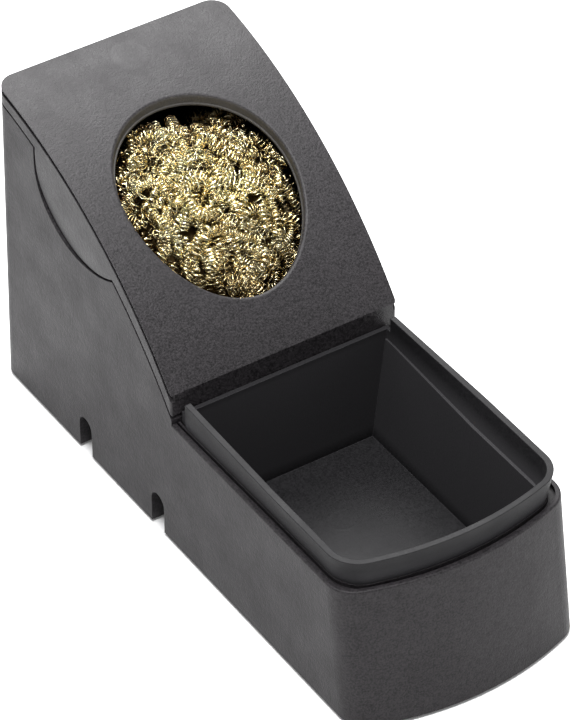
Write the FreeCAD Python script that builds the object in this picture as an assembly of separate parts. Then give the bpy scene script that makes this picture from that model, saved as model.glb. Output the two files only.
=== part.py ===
"""Dry tip cleaner for soldering irons: moulded base, lift-off hood, lift-out tray and brass wool.

Millimetres, +Z up, front towards -Y, origin at the middle of the footprint on the table.
One STEP file per separate piece goes to parts/.
"""
import FreeCAD
import Part
import math
import os

os.makedirs("parts", exist_ok=True)
V = FreeCAD.Vector

# ---------------------------------------------------------------- overall
# Heights are measured from the lower edge of the mouldings; the feet lift everything by foot_stand.
width = 60.0
length = 154.3
height = 84.55
half = width / 2
y_back = length / 2
y_front = -length / 2
back_lean = 2.75             # the back face leans in by this much up to the top edge
foot_stand = 0.8

# ---------------------------------------------------------------- hood
face_radius = 111.8          # convex arc of the sloping face, seen from the side
face_low_y = 1.1             # lower end of the face and plane of the hood's front wall
face_low_z = 43.25
hood_wall = 2.4
corner_back = 4.5            # plan radius of the rear vertical corners
corner_hood_front = 0.6      # plan radius of the hood's lower front corners
seam_gap = 0.65              # shadow gap between the hood's lower edge and the base, square to the seam
skirt_back = 4.2             # side wall height at the back
skirt_mid = 4.9              # side wall height half way down
skirt_front_z = 36.3         # lower edge of the side wall at the front
line_depth = 0.9             # fine line that frames the face
line_drop = 0.15
line_width = 1.15

# ---------------------------------------------------------------- round opening
hole_y = 31.95
hole_r = 21.2
hole_roll = 0.7              # rolled edge of the opening
hole_lip = 0.35              # small step at the inner end of the opening
hole_lip_thick = 0.4

# ---------------------------------------------------------------- ears, the grip tabs of the hood
ear_y = 38.8
ear_mid_z = 72.0
ear_back = 18.7
ear_front = 22.0
ear_drop = 15.6
ear_dip = 0.6                # how far the tab surface falls away at its outline
ear_reach = 11.3             # distance from seam to outline, along the slope's normal
ear_gap = 0.3
ear_round = 0.55

# ---------------------------------------------------------------- base
ledge_z = 35.0
ledge_round = 0.5
bead_width = 1.25            # raised outer edge of the ledge, with a groove inside it
groove_depth = 1.1
wall = 2.25
front_lean = 5.4             # the front face leans back by this much up to the ledge
front_arc = 73.5
front_corner = 7.0
chamber_floor = 13.2
floor_thick = 2.0
tray_bay_floor = 2.2
flange_thick = 2.4           # ledge that the tray's rim rests on
notch_w = 5.3                # transverse channels, open underneath
notch_top = 9.6
notch_y = (8.0, 39.4)
channel_wall = 1.6
retainer_y = 60.1            # cross wall behind the wool
retainer_thick = 1.8
retainer_z = 56.0
tongue_height = 1.3
tongue_thick = 1.3
clearance = 0.3

# ---------------------------------------------------------------- tray
# Half widths are given as (at the back, at the front corners).
tray_top = 41.8
tray_rear_y = 0.8
tray_rear_wall = 1.1
tray_rear_top = 38.0
collar_end_y = -1.6          # the tall rim stops here, short of the hood
side_turn_y = (-3.0, -36.0)  # the sides run at an angle between these
rim_arc = 80.0
rim_corner = 8.2
rim_top_x = (28.1, 28.8)
rim_top_y = -70.1
rim_low_x = (28.0, 27.7)
rim_low_y = -69.2
rim_in_top_x = (26.6, 27.2)
rim_in_top_y = -68.6
rim_in_low_x = (26.6, 25.6)
rim_in_low_y = -67.5
step_z = 35.2
body_x = (27.4, 26.4)
body_front_y = -68.4
inner_x = (26.2, 24.9)
inner_front_y = -66.9
floor_x = 22.9
floor_z = 7.8
floor_front_y = -64.4
tray_low_wall = 1.3
tray_floor_thick = 1.4

# ---------------------------------------------------------------- feet and wool
foot_r = 5.0
foot_seat = 1.6
foot_pos = {
    "foot_front_left": (-20.0, -54.0),
    "foot_front_right": (20.0, -54.0),
    "foot_rear_left": (-20.0, 64.0),
    "foot_rear_right": (20.0, 64.0),
}
wool_x = 24.0
wool_y = (7.0, 58.0)
wool_split_z = 30.0
wool_depth = 9.6             # top of the pad below the face, outside the opening
wool_crown_r = 19.6          # the part that fills the round opening
wool_crown_depth = 3.8
wool_crown_round = 4.5
wool_round = 6.0


def circle_centre(p, q, radius):
    """Centre of the arc p-q of the given radius, on the side of larger y."""
    mid = (p + q) * 0.5
    chord = q - p
    offset = math.sqrt(radius ** 2 - (chord.Length / 2) ** 2)
    normal = V(0, -chord.z, chord.y)
    normal.normalize()
    centre = mid + normal * offset
    if centre.y < mid.y:
        centre = mid - normal * offset
    return centre


face_top = V(0, y_back - back_lean, height)
face_low = V(0, face_low_y, face_low_z)
face_centre = circle_centre(face_top, face_low, face_radius)
angle_top = math.atan2(face_top.z - face_centre.z, face_top.y - face_centre.y)
angle_low = math.atan2(face_low.z - face_centre.z, face_low.y - face_centre.y)


def on_face(angle, depth=0.0):
    r = face_radius - depth
    return face_centre + V(0, r * math.cos(angle), r * math.sin(angle))


def face_z(y, depth=0.0):
    return face_centre.z + math.sqrt((face_radius - depth) ** 2 - (y - face_centre.y) ** 2)


def arc_at_depth(depth, y0, y1):
    """Arc concentric with the face between two y values."""
    p = V(0, y0, face_z(y0, depth))
    q = V(0, y1, face_z(y1, depth))
    ym = (y0 + y1) / 2
    return Part.Arc(p, V(0, ym, face_z(ym, depth)), q).toShape()


def chain(*points):
    return [Part.makeLine(a, b) for a, b in zip(points[:-1], points[1:])]


def side_solid(edges, x0, x1):
    """Closed outline in the YZ plane, extruded from x0 to x1."""
    face = Part.Face(Part.Wire(Part.__sortEdges__(edges)))
    face.translate(V(x0, 0, 0))
    return face.extrude(V(x1 - x0, 0, 0))


def block(x, y0, y1, z0, z1):
    return Part.makeBox(2 * x, y1 - y0, z1 - z0, V(-x, y0, z0))


def upright_edges(solid, y_test):
    """Vertical edges at the given y."""
    out = []
    for e in solid.Edges:
        a = e.Vertexes[0].Point
        b = e.Vertexes[-1].Point
        if abs(a.x - b.x) < 1e-6 and abs(a.y - b.y) < 1e-6 and abs(a.y - y_test) < 1e-6:
            out.append(e)
    return out


def plan_block(x, y0, y1, z0, z1, r_front, r_back):
    """Upright block with rounded vertical corners."""
    solid = block(x, y0, y1, z0, z1)
    solid = solid.makeFillet(r_back, upright_edges(solid, y1))
    return solid.makeFillet(r_front, upright_edges(solid, y0))


def rear_block(inset, z0, z1, r_front, r_back, y_start=face_low_y):
    """Rear part of the outline, inset all round; the front is upright and the back leans in."""
    x = half - inset
    slope = back_lean / height
    y_end = y_back - inset - slope * z0
    pts = [V(-x, y_start - 30, z0), V(x, y_start - 30, z0), V(x, y_end, z0), V(-x, y_end, z0)]
    face = Part.Face(Part.makePolygon(pts + pts[:1]))
    solid = face.extrude(V(0, -slope * (z1 - z0), z1 - z0))
    rear_edges = []
    for e in solid.Edges:
        p = e.Vertexes[0].Point
        q = e.Vertexes[-1].Point
        if abs(p.x - q.x) < 1e-6 and abs(p.z - q.z) > 1 and min(p.y, q.y) > y_start:
            rear_edges.append(e)
    solid = solid.makeFillet(r_back, rear_edges)
    front = block(x + 1, y_start + inset, y_back + 30, z0, z1)
    corner = block(x, y_start + inset, y_back + 30, z0, z1)
    corner = corner.makeFillet(r_front, upright_edges(corner, y_start + inset))
    return solid.common(front).common(corner)


def mirror_x(shape):
    return shape.mirror(V(0, 0, 0), V(1, 0, 0))


# ---------------------------------------------------------------- seam between hood and base
seam_back = V(0, y_back - back_lean, height - skirt_back)
seam_front = V(0, face_low_y, skirt_front_z)
seam_mid = on_face((angle_top + angle_low) / 2, skirt_mid)


def seam_arc(lift, forward):
    up = V(0, -forward, lift)
    return Part.Arc(seam_back + up, seam_mid + up, seam_front + up).toShape()


def below_seam(lift, x, forward=0.0):
    """Everything under the seam line, shifted up by lift and towards the front by forward."""
    a = seam_front + V(0, -forward, lift)
    b = seam_back + V(0, -forward, lift)
    far = 20
    edges = [seam_arc(lift, forward)]
    edges += chain(a, a + V(0, -far, 0), V(0, a.y - far, -far), V(0, b.y + far, -far), b + V(0, far, 0), b)
    return side_solid(edges, -x, x)


# ---------------------------------------------------------------- ears
def ear_outline(grow, top):
    """Two quarter ellipses closed by a straight top."""
    def quarter(half_axis, sign):
        a = half_axis + grow
        b = ear_drop + grow
        pts = []
        steps = 12
        for i in range(steps + 1):
            t = math.pi / 2 * i / steps
            pts.append(V(0, ear_y + sign * a * math.sin(t), ear_mid_z - b * math.cos(t)))
        curve = Part.BSplineCurve()
        curve.interpolate(pts)
        return curve.toShape(), pts[0], pts[-1]

    back, low, back_end = quarter(ear_back, 1)
    front, low, front_end = quarter(ear_front, -1)
    up_back = V(0, back_end.y, top)
    up_front = V(0, front_end.y, top)
    return [back, front] + chain(back_end, up_back, up_front, front_end)


def ear():
    """Left grip tab: a plate that follows a large cylinder, tangent to the side wall at the seam."""
    plate = side_solid(ear_outline(0.0, 90.0), -half - 1, -half + 12)
    plate = plate.common(below_seam(seam_gap + 0.8, half + 2))
    radius = (ear_reach ** 2 + ear_dip ** 2) / (2 * ear_dip)
    start = V(0, 24.9, 59.6)
    direction = V(0, 32.6, 17.2)
    direction.normalize()
    axis_x = -half + radius
    base = V(axis_x, start.y, start.z) - direction * 60
    outer = Part.makeCylinder(radius, 180, base, direction)
    inner = Part.makeCylinder(radius - hood_wall, 180, base, direction)
    tab = plate.common(outer).cut(inner)
    rim = []
    for e in tab.Edges:
        mid = e.valueAt((e.FirstParameter + e.LastParameter) / 2)
        offset = (mid - base).cross(direction).Length
        ends = [v.Point for v in e.Vertexes]
        if abs(offset - radius) < 1e-3 and min(p.z for p in ends) < ear_mid_z - 0.01:
            rim.append(e)
    return tab.makeFillet(ear_round, rim)


# ---------------------------------------------------------------- hood
def make_hood():
    outer = rear_block(0.0, -5, 100, corner_hood_front, corner_back)
    back_up = V(0, y_back + 10, face_z(y_back + 10))
    front_down = V(0, face_low_y - 10, face_z(face_low_y - 10))
    under_face = side_solid(
        [arc_at_depth(0, face_low_y - 10, y_back + 10)]
        + chain(back_up, V(0, y_back + 10, -20), V(0, face_low_y - 10, -20), front_down),
        -half - 2, half + 2)
    outer = outer.common(under_face).cut(below_seam(0.8 * seam_gap, half + 5, 0.6 * seam_gap))
    inner = rear_block(hood_wall, -10, 100, 0.8, corner_back - hood_wall)
    inner_top = side_solid(
        [arc_at_depth(hood_wall, face_low_y - 5, y_back + 5)]
        + chain(V(0, y_back + 5, face_z(y_back + 5, hood_wall)), V(0, y_back + 5, -20),
                V(0, face_low_y - 5, -20), V(0, face_low_y - 5, face_z(face_low_y - 5, hood_wall))),
        -half, half)
    shell = outer.cut(inner.common(inner_top))

    def band(depth0, depth1):
        y0 = face_low_y - 5
        y1 = y_back + 5
        return side_solid(
            [arc_at_depth(depth0, y0, y1), arc_at_depth(depth1, y0, y1)]
            + chain(V(0, y0, face_z(y0, depth0)), V(0, y0, face_z(y0, depth1)))
            + chain(V(0, y1, face_z(y1, depth0)), V(0, y1, face_z(y1, depth1))),
            -half, half)

    # vertical round opening with a small step at its inner end
    shell = shell.cut(Part.makeCylinder(hole_r - hole_lip, 100, V(0, hole_y, 5)))
    mouth = Part.makeCylinder(hole_r, 100, V(0, hole_y, 5))
    shell = shell.cut(mouth.common(band(-20, hood_wall - hole_lip_thick)))

    # rolled edge of the opening
    rolled = []
    for e in shell.Edges:
        mid = e.valueAt((e.FirstParameter + e.LastParameter) / 2)
        end = e.Vertexes[0].Point
        on_hole = all(abs(math.hypot(p.x, p.y - hole_y) - hole_r) < 0.02 for p in (mid, end))
        on_top = all(abs(p.z - face_z(p.y)) < 0.05 for p in (mid, end))
        if on_hole and on_top:
            rolled.append(e)
    shell = shell.makeFillet(hole_roll, rolled)

    # fine line that frames the face on both sides
    y0 = face_low_y - 2
    y1 = y_back + 2
    depth0 = line_drop
    depth1 = line_drop + line_width
    line = side_solid(
        [arc_at_depth(depth0, y0, y1), arc_at_depth(depth1, y0, y1)]
        + chain(V(0, y0, face_z(y0, depth0)), V(0, y0, face_z(y0, depth1)))
        + chain(V(0, y1, face_z(y1, depth0)), V(0, y1, face_z(y1, depth1))),
        -half - 1, -half + line_depth)
    shell = shell.cut([line, mirror_x(line)])

    tab = ear()
    shell = shell.fuse([tab, mirror_x(tab)])
    return shell.removeSplitter()


# ---------------------------------------------------------------- outlines of the tray
def tray_wire(x_pair, y_rear, y_mid, z):
    """Tray outline: straight rear, sides that run at an angle, bulged front."""
    xb, xf = x_pair
    y_end = y_mid + rim_arc - math.sqrt(rim_arc ** 2 - xf ** 2)
    pts = [V(-xf, y_end, z), V(-xf, side_turn_y[1], z), V(-xb, side_turn_y[0], z), V(-xb, y_rear, z),
           V(xb, y_rear, z), V(xb, side_turn_y[0], z), V(xf, side_turn_y[1], z), V(xf, y_end, z)]
    edges = [Part.Arc(pts[-1], V(0, y_mid, z), pts[0]).toShape()]
    edges += chain(*pts)
    return Part.Wire(edges)


def round_front(solid, radius, y_limit):
    edges = []
    for e in solid.Edges:
        p = e.Vertexes[0].Point
        q = e.Vertexes[-1].Point
        if abs(p.z - q.z) > 1 and max(p.y, q.y) < y_limit:
            edges.append(e)
    return solid.makeFillet(radius, edges)


def tray_solid(low, high, radius):
    """Ruled solid between two outlines, with rounded front corners."""
    return round_front(Part.makeLoft([low, high], True, True), radius, -56.0)


# ---------------------------------------------------------------- base
def front_prism(inset, z0, z1, y_rear, corner):
    """Front block, extruded along the lean of the front face; z0 is the level of the outline."""
    x = half - inset
    shift = front_lean * z0 / ledge_z
    arc_r = front_arc - inset
    y_mid = y_front + shift + inset
    y_end = y_mid + arc_r - math.sqrt(arc_r ** 2 - x ** 2)
    a = V(-x, y_end, z0)
    b = V(x, y_end, z0)
    edges = [Part.Arc(a, V(0, y_mid, z0), b).toShape()]
    edges += chain(b, V(x, y_rear, z0), V(-x, y_rear, z0), a)
    face = Part.Face(Part.Wire(edges))
    run = front_lean * (z1 - z0) / ledge_z
    solid = face.extrude(V(0, run, z1 - z0))
    lean_edges = []
    for e in solid.Edges:
        p = e.Vertexes[0].Point
        q = e.Vertexes[-1].Point
        if abs(p.x - q.x) < 1e-6 and abs(p.z - q.z) > 1 and p.y < y_rear - 20:
            lean_edges.append(e)
    return solid.makeFillet(corner, lean_edges)


def make_base():
    rear = rear_block(0.0, 0, 100, 0.5, corner_back, face_low_y - 12)
    rear_cut = block(half + 5, face_low_y - 20, face_low_y, ledge_z, 110)
    rear = rear.common(below_seam(0.0, half + 5)).cut(rear_cut)
    front = front_prism(0.0, 0, ledge_z, face_low_y, front_corner)
    body = front.fuse(rear).removeSplitter()

    # rounded outer edge of the ledge
    ledge_edges = []
    for e in body.Edges:
        if all(abs(v.Z - ledge_z) < 1e-6 for v in e.Vertexes):
            mid = e.valueAt((e.FirstParameter + e.LastParameter) / 2)
            if mid.y < face_low_y - 0.5:
                ledge_edges.append(e)
    body = body.makeFillet(ledge_round, ledge_edges)
    ahead = block(half, y_front, face_low_y, -5, 60)
    groove = front_prism(bead_width, ledge_z - groove_depth, ledge_z + 2, face_low_y, front_corner - bead_width)
    seat_x = tuple(x + 0.2 for x in rim_low_x)
    seat_y = rim_low_y - 0.2
    seat = tray_solid(tray_wire(seat_x, face_low_y + 5, seat_y, ledge_z - 3),
                      tray_wire(seat_x, face_low_y + 5, seat_y, ledge_z + 5), rim_corner)
    body = body.cut(groove.common(ahead).cut(seat))

    # wool chamber and tray bay
    y_wall = face_low_y + wall
    chamber = rear_block(wall, chamber_floor, 100, 1.2, corner_back - wall)
    bay = front_prism(wall, tray_bay_floor, ledge_z - flange_thick, face_low_y, front_corner - wall)
    mouth_x = tuple(x + clearance for x in body_x)
    mouth_y = body_front_y - clearance
    mouth = tray_solid(tray_wire(mouth_x, face_low_y, mouth_y, ledge_z - flange_thick - 1),
                       tray_wire(mouth_x, face_low_y, mouth_y, ledge_z + 5), 5.8 + clearance)
    body = body.cut([chamber, bay.common(ahead), mouth])

    # hollow underside of the rear part, crossed by two channels
    under = block(half - wall, y_wall, y_back - wall - 0.6, -5, chamber_floor - floor_thick)
    web = notch_w / 2 + channel_wall
    channels = [block(half - 0.5, y - web, y + web, 0, chamber_floor - 0.5) for y in notch_y]
    for cx, cy in foot_pos.values():
        if cy > 0:
            channels.append(Part.makeCylinder(foot_r + 1.8, chamber_floor - 0.5, V(cx, cy, 0)))
    body = body.cut(under.cut(channels[0].fuse(channels[1:])))
    r = notch_w / 2
    for y in notch_y:
        body = body.cut(Part.makeCylinder(r, 2 * half + 4, V(-half - 2, y, notch_top - r), V(1, 0, 0)))
        body = body.cut(block(half + 2, y - r, y + r, -2, notch_top - r))

    # seats of the feet
    for cx, cy in foot_pos.values():
        if cy < 0:
            body = body.fuse(Part.makeCylinder(foot_r + 1.8, 3.6, V(cx, cy, 0)))
        body = body.cut(Part.makeCylinder(foot_r + 0.1, foot_seat + 1, V(cx, cy, -1)))

    # cross wall that keeps the wool under the opening
    cross = block(half - wall + 0.2, retainer_y, retainer_y + retainer_thick, chamber_floor - 0.2, retainer_z)
    body = body.fuse(cross)

    # tongue that locates the hood
    def ring(gap, z_low, z_high):
        out = rear_block(gap, 20, 110, 0.6, corner_back - gap)
        g2 = wall + clearance + tongue_thick
        hollow = rear_block(g2, 10, 120, 0.4, corner_back - g2)
        solid = out.cut(hollow).common(below_seam(z_high, half + 5))
        return solid.cut(below_seam(z_low, half + 6))

    gap_top = hood_wall + clearance
    body = body.fuse([ring(wall - 0.3, -3.0, -0.25), ring(gap_top, -1.5, tongue_height)])

    # notches for the hood's ears
    notch = side_solid(ear_outline(ear_gap, 95.0), -half - 2, -half + 7)
    body = body.cut([notch, mirror_x(notch)])
    return body.removeSplitter()


# ---------------------------------------------------------------- tray
def make_tray():
    low_x = floor_x + tray_low_wall
    low_z = floor_z - tray_floor_thick
    inner_y = tray_rear_y - tray_rear_wall
    rim = tray_solid(tray_wire(rim_low_x, collar_end_y, rim_low_y, ledge_z),
                     tray_wire(rim_top_x, collar_end_y, rim_top_y, tray_top), rim_corner)
    body = tray_solid(tray_wire((low_x, low_x), tray_rear_y, floor_front_y - tray_low_wall, low_z),
                      tray_wire(body_x, tray_rear_y, body_front_y, ledge_z), 5.8)
    back = block(body_x[0], -8, tray_rear_y, ledge_z - 0.01, tray_rear_top)
    outer = rim.fuse([body, back])

    over = tray_top + (tray_top - step_z)
    open_top = tray_solid(
        tray_wire(rim_in_low_x, inner_y, rim_in_low_y, step_z),
        tray_wire(tuple(2 * t - b for t, b in zip(rim_in_top_x, rim_in_low_x)), inner_y,
                  2 * rim_in_top_y - rim_in_low_y, over), rim_corner - 1.3)
    hollow = tray_solid(tray_wire((floor_x, floor_x), inner_y, floor_front_y, floor_z),
                        tray_wire(inner_x, inner_y, inner_front_y, step_z + 0.01), 4.6)
    tray = outer.cut([open_top, hollow]).removeSplitter()
    rim_edges = []
    for e in tray.Edges:
        if all(abs(v.Z - tray_top) < 1e-6 for v in e.Vertexes):
            rim_edges.append(e)
    return tray.makeFillet(0.15, rim_edges)


# ---------------------------------------------------------------- wool
def under_arc(depth, y0, y1, z_low, x):
    """Solid between a level and the arc at the given depth below the face."""
    a = V(0, y0, face_z(y0, depth))
    b = V(0, y1, face_z(y1, depth))
    edges = [arc_at_depth(depth, y0, y1)] + chain(b, V(0, y1, z_low), V(0, y0, z_low), a)
    return side_solid(edges, -x, x)


def make_wool():
    y0, y1 = wool_y
    low = wool_split_z
    pad = under_arc(wool_depth, y0 - 8, y1 + 10, low - 5, wool_x + 5)
    pad = pad.common(plan_block(wool_x, y0, y1, low, 90, wool_round, wool_round))
    crown = Part.makeCylinder(wool_crown_r, 60, V(0, hole_y, low + 2))
    crown = crown.common(under_arc(wool_crown_depth, y0 - 8, y1 + 10, low - 5, wool_x + 5))
    rounded = []
    for e in crown.Edges:
        ends = [v.Point for v in e.Vertexes] + [e.valueAt((e.FirstParameter + e.LastParameter) / 2)]
        if all(abs(p.z - face_z(p.y, wool_crown_depth)) < 0.05 for p in ends):
            rounded.append(e)
    crown = crown.makeFillet(wool_crown_round, rounded)
    upper = pad.fuse(crown).removeSplitter()
    lower = plan_block(wool_x, y0, y1, chamber_floor, wool_split_z, wool_round, wool_round)
    return upper, lower


def make_foot(cx, cy):
    pad = Part.makeCylinder(foot_r, foot_seat + foot_stand - 0.05, V(cx, cy, -foot_stand))
    low = [e for e in pad.Edges if e.BoundBox.ZMax < -foot_stand + 0.01]
    return pad.makeChamfer(0.5, low)


nodes = {}
nodes["base_housing"] = make_base()
nodes["hood"] = make_hood()
nodes["residue_tray"] = make_tray()
nodes["brass_wool_upper"], nodes["brass_wool_lower"] = make_wool()
for name, (px, py) in foot_pos.items():
    nodes[name] = make_foot(px, py)

for name, shape in nodes.items():
    shape.translate(V(0, 0, foot_stand))
    solids = shape.Solids
    if len(solids) != 1 or not shape.isValid():
        raise RuntimeError("%s: %d solids, valid %s" % (name, len(solids), shape.isValid()))
    solids[0].exportStep("parts/%s.step" % name)
    box = shape.BoundBox
    print("%-20s x %.2f..%.2f  y %.2f..%.2f  z %.2f..%.2f  vol %.0f" % (
        name, box.XMin, box.XMax, box.YMin, box.YMax, box.ZMin, box.ZMax, solids[0].Volume))
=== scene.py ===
"""Looks for the dry tip cleaner: plastics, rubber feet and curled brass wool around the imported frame."""
import math

import bpy
import numpy as np
from mathutils import Matrix, Vector


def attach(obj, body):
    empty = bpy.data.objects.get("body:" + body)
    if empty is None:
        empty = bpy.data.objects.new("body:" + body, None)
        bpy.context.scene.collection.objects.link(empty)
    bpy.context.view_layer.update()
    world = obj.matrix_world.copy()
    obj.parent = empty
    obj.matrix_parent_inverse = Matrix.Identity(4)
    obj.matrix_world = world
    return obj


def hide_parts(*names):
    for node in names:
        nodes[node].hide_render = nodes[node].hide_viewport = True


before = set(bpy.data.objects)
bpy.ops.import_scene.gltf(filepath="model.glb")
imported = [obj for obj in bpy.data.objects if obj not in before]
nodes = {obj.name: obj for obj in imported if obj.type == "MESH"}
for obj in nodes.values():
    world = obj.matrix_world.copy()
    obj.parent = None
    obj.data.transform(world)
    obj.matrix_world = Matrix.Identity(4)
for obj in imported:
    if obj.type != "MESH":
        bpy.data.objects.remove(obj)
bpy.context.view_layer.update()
MM = 0.001

# ------------------------------------------------------------------ the hood, in millimetres, as in the part
FACE_CENTRE_Y = 88.72        # arc of the hood's face, seen from the side
FACE_CENTRE_Z = -25.43
FACE_RADIUS = 111.8
HOLE_Y = 31.95               # the round opening, seen from above
HOLE_R = 20.85               # inside of the small step in the opening
MOUTH_R = 21.3               # just outside the wall of the opening

# ------------------------------------------------------------------ the tray's walls, painted lighter than its floor, in millimetres
TRAY_WALL_FOOT = (9.2, 12.0)     # heights between which they fade in
TRAY_WALL_HEAD = (37.0, 40.0)    # and out

# ------------------------------------------------------------------ the wool, in millimetres
DOME_R = 20.8                # radius of its dome in the opening
WALL_GAP = 0.4               # curls nearer the opening's wall than this go under the hood
PLATE = 2.8                  # and stay at least this far below its face
WOOL_X = 22.8                # half width of the body
WOOL_FRONT, WOOL_BACK = 8.2, 56.8
WOOL_FLOOR, WOOL_SPLIT = 14.4, 30.2      # bottom and top of the lower body
CORE_BOTTOM = 31.6           # bottom of the body under the curls
SIDE_CURL_BOTTOM = 32.6      # lowest curls round the sides, and the outline that they follow
SIDE_HALF_X, SIDE_HALF_Y, SIDE_MIDDLE_Y = 23.4, 24.9, 32.5
PATH_STEP = 0.5              # spacing of the points along a curl's path
SLOPE_SHORTENS = 0.86        # a step down the slope, seen from above
SHORTEST_PATH = 4            # points


def face_z(y):
    """Height of the hood's sloping face above the table, in millimetres."""
    return FACE_CENTRE_Z + np.sqrt(FACE_RADIUS ** 2 - (y - FACE_CENTRE_Y) ** 2)


def face_normal(y):
    """Direction square to the face, away from the hood."""
    n = np.zeros(np.shape(y) + (3,))
    n[..., 1] = (y - FACE_CENTRE_Y) / FACE_RADIUS
    n[..., 2] = np.sqrt(1 - n[..., 1] ** 2)
    return n


# ------------------------------------------------------------------ node helpers
EDGE_SAMPLES = 6


class Tree:
    """A material's node tree, and short names for the nodes that the materials use."""

    def __init__(self, name):
        self.material = bpy.data.materials.new(name)
        self.material.use_nodes = True
        self.nodes = self.material.node_tree.nodes
        self.links = self.material.node_tree.links
        self.shader = self.nodes["Principled BSDF"]
        self.coords = self.nodes.new("ShaderNodeTexCoord").outputs["Object"]

    def put(self, value, socket):
        """Links an output to the socket, or sets the socket to a constant."""
        if isinstance(value, bpy.types.NodeSocket):
            self.links.new(value, socket)
        else:
            socket.default_value = value

    def noise(self, size, detail, rough):
        """Noise, 0 to 1, of this feature size in millimetres."""
        n = self.nodes.new("ShaderNodeTexNoise")
        n.inputs["Scale"].default_value = 1.0 / (size * MM)
        n.inputs["Detail"].default_value = detail
        n.inputs["Roughness"].default_value = rough
        self.links.new(self.coords, n.inputs["Vector"])
        return n.outputs["Fac"]

    def math(self, operation, a, b=0.0):
        n = self.nodes.new("ShaderNodeMath")
        n.operation = operation
        self.put(a, n.inputs[0])
        self.put(b, n.inputs[1])
        return n.outputs[0]

    def spread(self, value, low, high, to_low, to_high):
        """Maps low..high to to_low..to_high, and stays within them."""
        n = self.nodes.new("ShaderNodeMapRange")
        self.put(value, n.inputs["Value"])
        for key, v in (("From Min", low), ("From Max", high), ("To Min", to_low), ("To Max", to_high)):
            self.put(v, n.inputs[key])
        return n.outputs["Result"]

    def ramp(self, value, stops):
        """Colour ramp through two (position, colour) stops."""
        n = self.nodes.new("ShaderNodeValToRGB")
        self.links.new(value, n.inputs["Fac"])
        for item, (position, colour) in zip(n.color_ramp.elements, stops):
            item.position = position
            item.color = (*colour, 1.0)
        return n.outputs["Color"]

    def mix(self, factor, a, b):
        n = self.nodes.new("ShaderNodeMix")
        n.data_type = "RGBA"
        self.put(factor, n.inputs["Factor"])
        for v, socket in ((a, n.inputs[6]), (b, n.inputs[7])):
            self.put((*v, 1.0) if isinstance(v, tuple) else v, socket)
        return n.outputs[2]

    def bump(self, height, strength, distance, normal=None):
        """Surface relief: distance is the depth in metres at strength 1."""
        n = self.nodes.new("ShaderNodeBump")
        n.inputs["Strength"].default_value = strength
        n.inputs["Distance"].default_value = distance
        self.links.new(height, n.inputs["Height"])
        if normal is not None:
            self.links.new(normal, n.inputs["Normal"])
        return n.outputs["Normal"]

    def rounded(self, radius):
        """Normal of edges rounded to this radius in metres, and how near an edge a point is, 0 to 1."""
        n = self.nodes.new("ShaderNodeBevel")
        n.samples = EDGE_SAMPLES
        n.inputs["Radius"].default_value = radius
        g = self.nodes.new("ShaderNodeNewGeometry")
        d = self.nodes.new("ShaderNodeVectorMath")
        d.operation = "DOT_PRODUCT"
        self.links.new(n.outputs["Normal"], d.inputs[0])
        self.links.new(g.outputs["Normal"], d.inputs[1])
        edge = self.spread(d.outputs["Value"], 0.99, 0.86, 0.0, 1.0)
        return n.outputs["Normal"], edge

    def axes(self):
        """The object coordinates, one output per axis, in metres."""
        n = self.nodes.new("ShaderNodeSeparateXYZ")
        self.links.new(self.coords, n.inputs[0])
        return n.outputs

    def distance(self, a, centre_a, b, centre_b):
        """Distance from a centre in the plane of two axes, in metres. The centre is in millimetres."""
        da = self.math("SUBTRACT", a, centre_a * MM)
        db = self.math("SUBTRACT", b, centre_b * MM)
        squares = self.math("ADD", self.math("MULTIPLY", da, da), self.math("MULTIPLY", db, db))
        return self.math("SQRT", squares)

    def disc(self, centre, radius, rim):
        """A round mark seen from above, in millimetres: two outputs, 1 inside it and 1 on its outline."""
        axes = self.axes()
        r = self.distance(axes["X"], centre[0], axes["Y"], centre[1])
        flat = self.spread(r, (radius - rim) * MM, (radius + rim) * MM, 1.0, 0.0)
        off = self.math("ABSOLUTE", self.math("SUBTRACT", r, radius * MM))
        return flat, self.spread(off, 0.0, rim * 2 * MM, 1.0, 0.0)


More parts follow.
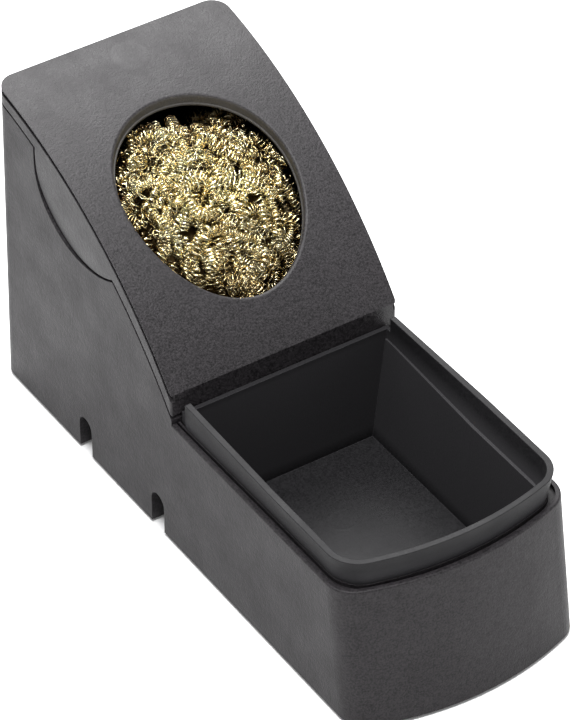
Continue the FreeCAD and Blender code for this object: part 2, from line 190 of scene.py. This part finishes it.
def moulded(name, dark, light, grain, grain_size, edge, wear_and_highlight, ior, marks=(), extra=None):
    """Black moulded plastic: spark-eroded grain, mottled tone, rounded edges painted paler, partly wear and
    partly painted highlight.

    grain is the grain's depth, grain_size its size and edge the edges' radius, all in millimetres. The
    argument after edge is how much paler the edges are, partly wear and partly painted highlight. marks are
    faint round moulding marks: centre, radius, depth of outline."""
    t = Tree(name)
    fine = t.noise(grain_size, 2.5, 0.62)
    middle = t.noise(grain_size * 3.2, 2.0, 0.5)
    broad = t.noise(9.0, 3.0, 0.55)
    tone = t.math("ADD", t.math("MULTIPLY", fine, 0.82), t.math("MULTIPLY", middle, 0.18))
    colour = t.ramp(tone, ((0.36, dark), (0.64, light)))
    if extra:
        colour = extra(t, colour)
    normal, near_edge = t.rounded(edge * MM)
    # edges and inner corners painted paler: partly wear, partly a painted highlight
    edge_wear_and_highlight = t.math("MULTIPLY", near_edge, t.spread(t.noise(1.6, 3.0, 0.6), 0.35, 0.65, 0.25, 1.0))
    colour = t.mix(t.math("MULTIPLY", edge_wear_and_highlight, wear_and_highlight), colour, tuple(2.6 * c for c in light))
    roughness = t.math("ADD", t.spread(broad, 0.3, 0.7, 0.45, 0.55), t.spread(fine, 0.3, 0.7, -0.09, 0.09))
    roughness = t.math("SUBTRACT", roughness, t.math("MULTIPLY", edge_wear_and_highlight, 0.12))
    height = t.math("ADD", fine, t.math("MULTIPLY", middle, 0.6))
    for centre, radius, depth in marks:
        flat, ring = t.disc(centre, radius, 0.35)
        height = t.math("MULTIPLY", height, t.math("SUBTRACT", 1.0, t.math("MULTIPLY", flat, 0.35)))
        height = t.math("ADD", height, t.math("MULTIPLY", ring, depth))
        roughness = t.math("SUBTRACT", roughness, t.math("MULTIPLY", flat, 0.015))
    t.links.new(colour, t.shader.inputs["Base Color"])
    t.links.new(roughness, t.shader.inputs["Roughness"])
    t.links.new(t.bump(height, 1.0, grain * MM, normal), t.shader.inputs["Normal"])
    t.shader.inputs["IOR"].default_value = ior
    return t.material


def dress(node, material):
    """Gives a CAD node its material."""
    mesh = nodes[node].data
    mesh.materials.clear()
    mesh.materials.append(material)


# ------------------------------------------------------------------ plastics and rubber
def mouth_painted_reflection(t, colour):
    """The wall of the opening is painted paler and warmer: a painted reflection of the brass wool."""
    inside, _ = t.disc((0.0, HOLE_Y), MOUTH_R, 0.1)
    return t.mix(t.math("MULTIPLY", inside, 0.3), colour, (0.105, 0.097, 0.080))


def walls_painted_light(t, colour):
    """The walls of the tray are painted lighter than its floor and rim: painted light on walls that the
    lamps leave darker.
    """
    z = t.axes()["Z"]
    low = t.spread(z, TRAY_WALL_FOOT[0] * MM, TRAY_WALL_FOOT[1] * MM, 0.0, 1.0)
    high = t.spread(z, TRAY_WALL_HEAD[0] * MM, TRAY_WALL_HEAD[1] * MM, 1.0, 0.0)
    return t.mix(t.math("MULTIPLY", low, high), colour, (0.034, 0.033, 0.0355))


GRIT = ((0.005, 0.0043, 0.0051), (0.031, 0.0276, 0.0307))
SATIN = ((0.009, 0.0088, 0.0096), (0.019, 0.0184, 0.0200))
GATE_MARK = ((1.3, 67.5), 4.3, 0.0)
EJECTOR_MARKS = (((13.2, -10.4), 3.3, 0.9), ((1.4, -20.5), 3.3, 0.9))
hood_black = moulded("hood_plastic", *GRIT, grain=0.11, grain_size=0.45, edge=0.16, wear_and_highlight=0.12, ior=1.43,
                     marks=(GATE_MARK,), extra=mouth_painted_reflection)
base_black = moulded("housing_plastic", *GRIT, grain=0.11, grain_size=0.45, edge=0.16, wear_and_highlight=0.12, ior=1.33)
# the tray's edges and inner corners are painted much paler: mostly a painted highlight
tray_black = moulded("tray_plastic", *SATIN, grain=0.022, grain_size=0.4, edge=0.22, wear_and_highlight=1.0, ior=1.25,
                     marks=EJECTOR_MARKS, extra=walls_painted_light)
dress("hood", hood_black)
dress("base_housing", base_black)
dress("residue_tray", tray_black)


def rubber():
    """Matt black rubber with a little dust."""
    t = Tree("foot_rubber")
    fine = t.noise(0.25, 3.0, 0.6)
    dust = t.noise(3.0, 4.0, 0.6)
    t.links.new(t.ramp(dust, ((0.4, (0.018, 0.018, 0.018)), (0.75, (0.045, 0.043, 0.041)))),
                t.shader.inputs["Base Color"])
    t.links.new(t.spread(fine, 0.3, 0.7, 0.72, 0.9), t.shader.inputs["Roughness"])
    t.links.new(t.bump(fine, 0.6, 0.03 * MM), t.shader.inputs["Normal"])
    return t.material


foot_material = rubber()
for corner in ("front_left", "front_right", "rear_left", "rear_right"):
    dress("foot_" + corner, foot_material)


# ------------------------------------------------------------------ brass wool
# brown painted into the wool as shade, deeper down and towards the front
PAINTED_SHADE_BROWN = (0.24, 0.125, 0.04)
SHADE_DEPTH_FROM, SHADE_DEPTH_TO = 2.6, 6.6      # depths below the hood's face, in millimetres
FRONT_SHADE_FROM, FRONT_SHADE_TO = 2.0, 18.0           # distances forward of the middle of the opening
FRONT_SHADE_MOST = 0.42                         # painted shade towards the front, at most


def brass(name, pale, deep, rough, depth_shade):
    """Brass swarf with painted shade: browner with depth below the face, and a little towards the front."""
    t = Tree(name)
    streak = t.noise(1.3, 3.0, 0.6)
    patch = t.noise(6.0, 2.0, 0.5)
    tone = t.math("ADD", t.math("MULTIPLY", streak, 0.6), t.math("MULTIPLY", patch, 0.4))
    axes = t.axes()
    reach = t.distance(axes["Y"], FACE_CENTRE_Y, axes["Z"], FACE_CENTRE_Z)
    # painted shade: the curls turn browner the deeper they lie below the face
    painted_shade = t.spread(reach, (FACE_RADIUS - SHADE_DEPTH_FROM) * MM, (FACE_RADIUS - SHADE_DEPTH_TO) * MM,
                       0.0, depth_shade)
    # and painted shade towards the front of the opening
    front_shade = t.spread(axes["Y"], (HOLE_Y - FRONT_SHADE_FROM) * MM, (HOLE_Y - FRONT_SHADE_TO) * MM, 0.0, FRONT_SHADE_MOST)
    painted_shade = t.math("MAXIMUM", painted_shade, t.math("MULTIPLY", front_shade, depth_shade))
    colour = t.mix(painted_shade, t.ramp(tone, ((0.36, deep), (0.62, pale))), PAINTED_SHADE_BROWN)
    t.links.new(colour, t.shader.inputs["Base Color"])
    t.links.new(t.spread(streak, 0.3, 0.7, rough - 0.07, rough + 0.09), t.shader.inputs["Roughness"])
    t.links.new(t.bump(t.noise(0.22, 2.0, 0.5), 0.35, 0.02 * MM), t.shader.inputs["Normal"])
    t.shader.inputs["Metallic"].default_value = 1.0
    return t.material


def mesh_object(name, verts, quads, tris, material):
    """Smooth-shaded object from vertices in millimetres and two index arrays."""
    mesh = bpy.data.meshes.new(name)
    mesh.vertices.add(len(verts))
    mesh.vertices.foreach_set("co", np.asarray(verts, np.float32).ravel() * MM)
    loops = np.concatenate([quads.ravel(), tris.ravel()])
    sizes = np.concatenate([np.full(len(quads), 4), np.full(len(tris), 3)])
    mesh.loops.add(len(loops))
    mesh.loops.foreach_set("vertex_index", loops.astype(np.int32))
    mesh.polygons.add(len(sizes))
    starts = np.concatenate([[0], np.cumsum(sizes)[:-1]])
    mesh.polygons.foreach_set("loop_start", starts.astype(np.int32))
    mesh.polygons.foreach_set("use_smooth", np.full(len(sizes), True))
    mesh.update(calc_edges=True)
    mesh.validate()
    mesh.materials.append(material)
    o = bpy.data.objects.new(name, mesh)
    bpy.context.scene.collection.objects.link(o)
    return o


def smooth_noise(rng, count, knots, size):
    """A smooth random curve with the given number of knots, sampled count times."""
    y = rng.normal(0, size, knots + 3)
    x = np.linspace(0, knots, count)
    i = np.minimum(x.astype(int), knots - 1)
    f = x - i
    a, b, c, d = y[i], y[i + 1], y[i + 2], y[i + 3]
    return ((-f ** 3 + 3 * f ** 2 - 3 * f + 1) * a + (3 * f ** 3 - 6 * f ** 2 + 4) * b
            + (-3 * f ** 3 + 3 * f ** 2 + 3 * f + 1) * c + f ** 3 * d) / 6


def curl(rng, path, up, radius, pitch, width, thick, per_turn):
    """A helical ribbon of triangular section along a path. Returns vertices, quads and end triangles.

    up is the direction away from the wool at each point of the path. Lengths are in millimetres."""
    # the path at even steps, with a frame that follows it
    seg = np.linalg.norm(np.diff(path, axis=0), axis=1)
    along = np.concatenate([[0], np.cumsum(seg)])
    total = along[-1]
    turns = total / pitch
    count = max(8, int(turns * per_turn))
    s = np.linspace(0, total, count)
    p = np.stack([np.interp(s, along, path[:, k]) for k in range(3)], 1)
    u = np.stack([np.interp(s, along, up[:, k]) for k in range(3)], 1)
    t = np.gradient(p, axis=0)
    t /= np.linalg.norm(t, axis=1)[:, None]
    side = np.cross(t, u)
    side /= np.linalg.norm(side, axis=1)[:, None]
    u = np.cross(side, t)
    # the helix, uneven in radius and pace
    knots = max(3, int(total / 2.4))
    wobble = 1 + smooth_noise(rng, count, knots, 0.42)
    phase = rng.uniform(0, 2 * math.pi) + 2 * math.pi * turns * (
        np.linspace(0, 1, count) + smooth_noise(rng, count, knots, 0.9) / max(turns, 1))
    r = radius * np.clip(wobble, 0.45, 1.35)
    e = np.cos(phase)[:, None] * side + np.sin(phase)[:, None] * u
    c = p + e * r[:, None]
    # the ribbon across it, which tilts, changes width and tapers at its ends
    h = np.gradient(c, axis=0)
    h /= np.linalg.norm(h, axis=1)[:, None]
    w = np.cross(h, e)
    w /= np.linalg.norm(w, axis=1)[:, None]
    n = np.cross(w, h)
    tilt = rng.uniform(-0.8, 0.8) + smooth_noise(rng, count, knots, 1.0)
    wt = np.cos(tilt)[:, None] * w + np.sin(tilt)[:, None] * n
    nt = np.cos(tilt)[:, None] * n - np.sin(tilt)[:, None] * w
    half = width / 2 * (1 + smooth_noise(rng, count, knots * 2, 0.45))[:, None]
    taper = np.clip(np.minimum(np.arange(count), np.arange(count)[::-1]) / 4 + 0.25, 0, 1)[:, None]
    ridge = nt * thick * np.sign(np.sum(-nt * e, 1))[:, None]
    verts = np.stack([c + wt * half * taper, c - wt * half * taper, c + ridge * taper], 1).reshape(-1, 3)
    i = np.arange(count - 1) * 3
    quads = np.concatenate([np.stack([i + j, i + (j + 1) % 3, i + 3 + (j + 1) % 3, i + 3 + j], 1)
                            for j in range(3)])
    last = (count - 1) * 3
    tris = np.array([[0, 2, 1], [last, last + 1, last + 2]])
    return verts, quads, tris


class Tangle:
    """Collects curls into one mesh."""

    def __init__(self, seed):
        self.rng = np.random.default_rng(seed)
        self.parts = []

    def add(self, path, up, radius, pitch, width, thick, per_turn):
        if len(path) >= SHORTEST_PATH:
            self.parts.append(curl(self.rng, path, up, radius, pitch, width, thick, per_turn))

    def build(self, name, material):
        first, vs, qs, ts = 0, [], [], []
        for v, q, t in self.parts:
            vs.append(v)
            qs.append(q + first)
            ts.append(t + first)
            first += len(v)
        return mesh_object(name, np.concatenate(vs), np.concatenate(qs), np.concatenate(ts), material)


def lumps(x, y, k):
    """Slow unevenness of the wool's surface, about -1 to 1."""
    return (math.sin(0.31 * k + 1.7) * np.sin(0.34 * x + 0.23 * y + k)
            + np.sin(0.19 * x - 0.41 * y + 2.1 * k + 0.6) + 0.6 * np.sin(0.62 * x + 0.55 * y - k)) / 2.6


def below_face(y, depth):
    """Height of the point this deep below the hood's face, square to it."""
    ny = (y - FACE_CENTRE_Y) / FACE_RADIUS
    return face_z(y) - depth / np.sqrt(1 - ny ** 2)


def crown_top(x, y):
    """Height of the wool dome in the opening, with a hollow at its rear right."""
    r = np.hypot(x, y - HOLE_Y) / DOME_R
    depth = 1.4 + 2.9 * np.clip(r, 0, 1.12) ** 3.4 + 0.8 * lumps(x, y, 1)
    hollow_x, hollow_y = 9.0, HOLE_Y + 17.0
    return below_face(y, depth + 1.7 * np.exp(-((x - hollow_x) ** 2 + (y - hollow_y) ** 2) / 70.0))


def pad_top(x, y):
    """Height of the wool beside the opening, under the hood."""
    return below_face(y, 10.6 + 0.8 * lumps(x, y, 2))


def fan(x):
    """Direction of most curls: they spread from the top of the opening down the slope."""
    lean = np.clip(0.055 * x - 0.05, -1.0, 1.0)
    return math.atan2(-1.0, lean * 1.1)


def lay_curl(rng, start, heading, length, inside, height, layer, swing, radius):
    """A wandering path on a surface, cut off where it would leave the allowed plan area.

    layer is how deep it lies below the surface and radius is the curl's. Returns the path's points and the
    direction away from the wool at each."""
    count = max(8, int(length / PATH_STEP))
    turn = np.cumsum(smooth_noise(rng, count, max(3, int(length / 7)), swing)) * PATH_STEP
    sag = smooth_noise(rng, count, max(3, int(length / 6)), 0.9)
    points = []
    x, y = start
    for k in range(count):
        points.append((x, y))
        a = heading + turn[k]
        x += PATH_STEP * math.cos(a)
        y += PATH_STEP * math.sin(a) * SLOPE_SHORTENS
        if not inside(x, y):
            break
    xy = np.array(points)
    z = height(xy[:, 0], xy[:, 1]) - layer + sag[:len(xy)]
    up = face_normal(xy[:, 1])
    under_plate = np.hypot(xy[:, 0], xy[:, 1] - HOLE_Y) > HOLE_R - WALL_GAP - radius
    z = np.where(under_plate, np.minimum(z, face_z(xy[:, 1]) - (PLATE + radius) / up[:, 2]), z)
    return np.column_stack([xy, z]), up


def in_opening(margin):
    """Test for points at least this far inside the opening's wall, seen from above."""
    return lambda x, y: math.hypot(x, y - HOLE_Y) < HOLE_R - margin


def in_pad(x, y):
    """Test for points inside the body's outline, seen from above."""
    return abs(x) < WOOL_X - 1.0 and WOOL_FRONT + 1.0 < y < WOOL_BACK - 1.0


def in_disc(rng, radius):
    """A random point of a disc round the middle of the opening."""
    r = radius * math.sqrt(rng.uniform())
    a = rng.uniform(0, 2 * math.pi)
    return r * math.cos(a), HOLE_Y + r * math.sin(a)


def crown_layers(wool):
    """Layers of curls that fill the opening, with gaps in the top one towards the front left."""
    rng = wool.rng
    for layer, count in ((0.0, 122), (0.9, 104), (2.0, 90), (3.3, 76)):
        for _ in range(count):
            x, y = in_disc(rng, 22.0)
            thin = 0.38 * min(1.0, max(0.0, (-0.5 * x - 0.8 * (y - HOLE_Y) + 2.0) / 12.0))
            if layer == 0.0 and rng.uniform() < thin:
                continue
            heading = fan(x) + rng.normal(0, 0.5) + (math.pi if rng.uniform() < 0.5 else 0)
            radius = rng.uniform(0.65, 1.4)
            path, up = lay_curl(rng, (x, y), heading, rng.uniform(4, 13), in_opening(radius - 2.4),
                                crown_top, layer + radius, 0.24, radius)
            wool.add(path, up, radius, rng.uniform(0.75, 1.4), rng.uniform(0.40, 0.72), 0.12, 9)


def loose_loops(wool):
    """Thin open loops that lie on top."""
    rng = wool.rng
    for _ in range(130):
        start = in_disc(rng, 19.5)
        radius = rng.uniform(0.7, 1.5)
        path, up = lay_curl(rng, start, rng.uniform(0, 2 * math.pi), rng.uniform(2, 7),
                            in_opening(radius + 0.4), crown_top, radius * 0.5, 0.3, radius)
        wool.add(path, up, radius, rng.uniform(1.2, 2.4), rng.uniform(0.20, 0.42), 0.08, 11)


def shoulder_layers(wool):
    """Long curls over the top of the pad, under the hood."""
    rng = wool.rng
    for layer, count in ((0.2, 74), (1.9, 30)):
        for _ in range(count):
            start = rng.uniform(-21, 21), rng.uniform(10, 55)
            radius = rng.uniform(0.9, 1.4)
            path, up = lay_curl(rng, start, rng.uniform(0, 2 * math.pi), rng.uniform(12, 34), in_pad,
                                pad_top, layer + radius, 0.14, radius)
            wool.add(path, up, radius, rng.uniform(0.75, 1.1), rng.uniform(0.28, 0.42), 0.1, 8)


def side_curls(wool):
    """Curls wound round the sides of the pad, in plan a rectangle with round corners."""
    rng = wool.rng
    for _ in range(150):
        radius = rng.uniform(0.9, 1.4)
        span = rng.uniform(0.25, 0.7)
        angle = np.linspace(0, span, 40) + rng.uniform(0, 2 * math.pi)
        c, s = np.cos(angle), np.sin(angle)
        x = (SIDE_HALF_X - radius) * np.sign(c) * np.abs(c) ** 0.35
        y = SIDE_MIDDLE_Y + (SIDE_HALF_Y - radius) * np.sign(s) * np.abs(s) ** 0.35
        lowest = SIDE_CURL_BOTTOM + radius
        rise = np.maximum(pad_top(x, y) - radius - lowest, 0)
        share = rng.uniform(0.0, 1.0) + smooth_noise(rng, 40, 4, 0.12)
        z = lowest + np.clip(share, 0, 1) * rise
        out = np.stack([np.sign(c) * np.abs(c) ** 2.5, np.sign(s) * np.abs(s) ** 2.5, np.full(40, 0.05)], 1)
        out /= np.linalg.norm(out, axis=1)[:, None]
        wool.add(np.stack([x, y, z], 1), out, radius, rng.uniform(1.0, 1.6), rng.uniform(0.36, 0.6), 0.1, 7)


# the last number is how much painted shade each brass gets with depth
bright_brass = brass("brass_curls", (1.0, 0.97, 0.70), (0.98, 0.82, 0.42), 0.18, 0.93)
shoulder_brass = brass("brass_under_hood", (0.92, 0.80, 0.50), (0.80, 0.58, 0.27), 0.26, 0.25)
# the wool's body under the curls, painted near black: painted shade seen through the gaps
brass_painted_shade = brass("brass_deep_painted_shade", (0.10, 0.065, 0.026), (0.03, 0.018, 0.007), 0.6, 0.0)

crown = Tangle(seed=11)
crown_layers(crown)
loose_loops(crown)
crown_wool = crown.build("brass_wool_in_opening", bright_brass)
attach(crown_wool, "base")
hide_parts("brass_wool_upper")

shoulder = Tangle(seed=23)
shoulder_layers(shoulder)
side_curls(shoulder)
shoulder_wool = shoulder.build("brass_wool_shoulder", shoulder_brass)
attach(shoulder_wool, "base")


def core(name, top_of, low, inset, rows):
    """Closed uneven body under the curls, between an upper and a lower grid of points."""
    rng = np.random.default_rng(5)
    half_x, half_y = WOOL_X - inset, (WOOL_BACK - WOOL_FRONT) / 2 - inset
    grid_x, grid_y = np.meshgrid(np.linspace(-1, 1, rows), np.linspace(-1, 1, rows))
    squash = np.sqrt(1 - 0.16 * np.minimum(grid_x ** 2, grid_y ** 2))
    x = grid_x * half_x * squash
    y = (WOOL_FRONT + WOOL_BACK) / 2 + grid_y * half_y * squash
    top = top_of(x, y) + rng.normal(0, 0.25, x.shape)
    bottom = np.full_like(x, low) + rng.normal(0, 0.15, x.shape)
    verts = np.concatenate([np.stack([x, y, z], 2).reshape(-1, 3) for z in (top, bottom)])
    below = rows * rows
    idx = np.arange(below).reshape(rows, rows)
    a, b, c, d = idx[:-1, :-1], idx[:-1, 1:], idx[1:, 1:], idx[1:, :-1]
    upper = np.stack([a, b, c, d], -1).reshape(-1, 4)
    lower = np.stack([a, d, c, b], -1).reshape(-1, 4) + below
    ring = np.concatenate([idx[0, :-1], idx[:-1, -1], idx[-1, :0:-1], idx[:0:-1, 0]])
    following = np.roll(ring, -1)
    sides = np.stack([ring, ring + below, following + below, following], -1)
    quads = np.concatenate([upper, lower, sides])
    return mesh_object(name, verts, quads, np.zeros((0, 3), int), brass_painted_shade)


def upper_core_top(x, y):
    """Well below the dome in the opening, and below the pad around it."""
    r = np.hypot(x, y - HOLE_Y)
    inner = crown_top(x, y) - 7.0
    outer = pad_top(x, y) - 4.0
    blend = np.clip((r - 15.0) / 3.0, 0, 1)
    return np.minimum(inner, inner * (1 - blend) + outer * blend)


upper_core = core("brass_wool_core_upper", upper_core_top, CORE_BOTTOM, inset=2.8, rows=44)
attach(upper_core, "base")


def flat_top(x, y):
    return np.full_like(x, WOOL_SPLIT)


lower_core = core("brass_wool_core_lower", flat_top, WOOL_FLOOR, inset=0.0, rows=30)
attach(lower_core, "base")
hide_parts("brass_wool_lower")


# ------------------------------------------------------------------ floor, light, camera
FLOOR_SIZE = 6.0             # metres
FLOOR_MOTTLE = 1000 / 6      # millimetres
FLOOR_GLOW = 0.06
WORLD_LIGHT = 0.50


def floor_material():
    """Plain pale floor that glows faintly, so that it stays near white."""
    t = Tree("floor")
    tone = t.noise(FLOOR_MOTTLE, 3.0, 0.5)
    t.links.new(t.ramp(tone, ((0.3, (0.86, 0.86, 0.865)), (0.7, (0.88, 0.88, 0.88)))),
                t.shader.inputs["Base Color"])
    t.links.new(t.spread(tone, 0.3, 0.7, 0.6, 0.7), t.shader.inputs["Roughness"])
    t.shader.inputs["Emission Color"].default_value = (1.0, 1.0, 1.0, 1.0)
    t.shader.inputs["Emission Strength"].default_value = FLOOR_GLOW
    return t.material


bpy.ops.mesh.primitive_plane_add(size=FLOOR_SIZE, location=(0, 0, 0))
floor = bpy.context.object
floor.name = "floor"
floor.data.materials.append(floor_material())

world = bpy.data.worlds.new("world")
bpy.context.scene.world = world
world.use_nodes = True
sky = world.node_tree.nodes["Background"]
sky.inputs["Color"].default_value = (1.0, 1.0, 1.0, 1.0)
sky.inputs["Strength"].default_value = WORLD_LIGHT


def soft_box(name, place, target, size, watts):
    """A rectangular white light at a place in metres, turned towards a target."""
    data = bpy.data.lights.new(name, "AREA")
    data.shape = "RECTANGLE"
    data.size, data.size_y = size
    data.energy = watts
    o = bpy.data.objects.new(name, data)
    o.location = place
    o.rotation_mode = "QUATERNION"
    o.rotation_quaternion = (Vector(target) - Vector(place)).to_track_quat("-Z", "Y")
    bpy.context.scene.collection.objects.link(o)


soft_box("key", (0.26, 0.42, 0.72), (0, 0.03, 0.06), (0.50, 0.45), 8.2)
soft_box("spark", (-0.17, -0.14, 0.94), (0, 0.03, 0.06), (0.34, 0.34), 10.0)
soft_box("left", (-0.75, 0.15, 0.45), (0, 0.0, 0.04), (0.6, 0.5), 0.45)
soft_box("right", (0.75, -0.35, 0.40), (0, -0.02, 0.05), (0.5, 0.5), 0.7)

# the camera looks from this direction, and is then slid sideways and up in its own plane
AZIMUTH, ELEVATION, ROLL = math.radians(-32.945), math.radians(39.772), math.radians(-0.328)
DISTANCE, SLIDE_X, SLIDE_Y = 1.060215, 0.005514, 0.025362     # metres
LOOK_AT = Vector((0, 0.01125, 0.0008))
LENS, SENSOR = 230.26, 36.0


def place_camera():
    back = Vector((math.sin(AZIMUTH) * math.cos(ELEVATION), -math.cos(AZIMUTH) * math.cos(ELEVATION),
                   math.sin(ELEVATION)))
    level_right = (-back).cross(Vector((0, 0, 1))).normalized()
    level_up = level_right.cross(-back)
    right = math.cos(ROLL) * level_right + math.sin(ROLL) * level_up
    up = -math.sin(ROLL) * level_right + math.cos(ROLL) * level_up
    data = bpy.data.cameras.new("camera")
    data.lens, data.sensor_width = LENS, SENSOR
    data.clip_start, data.clip_end = 0.1, 20.0
    camera = bpy.data.objects.new("camera", data)
    bpy.context.scene.collection.objects.link(camera)
    stand = Matrix((right, up, back)).transposed().to_4x4()
    stand.translation = back * DISTANCE + right * SLIDE_X + up * SLIDE_Y + LOOK_AT
    camera.matrix_world = stand
    bpy.context.scene.camera = camera


place_camera()
bpy.context.scene.view_settings.view_transform = "Standard"
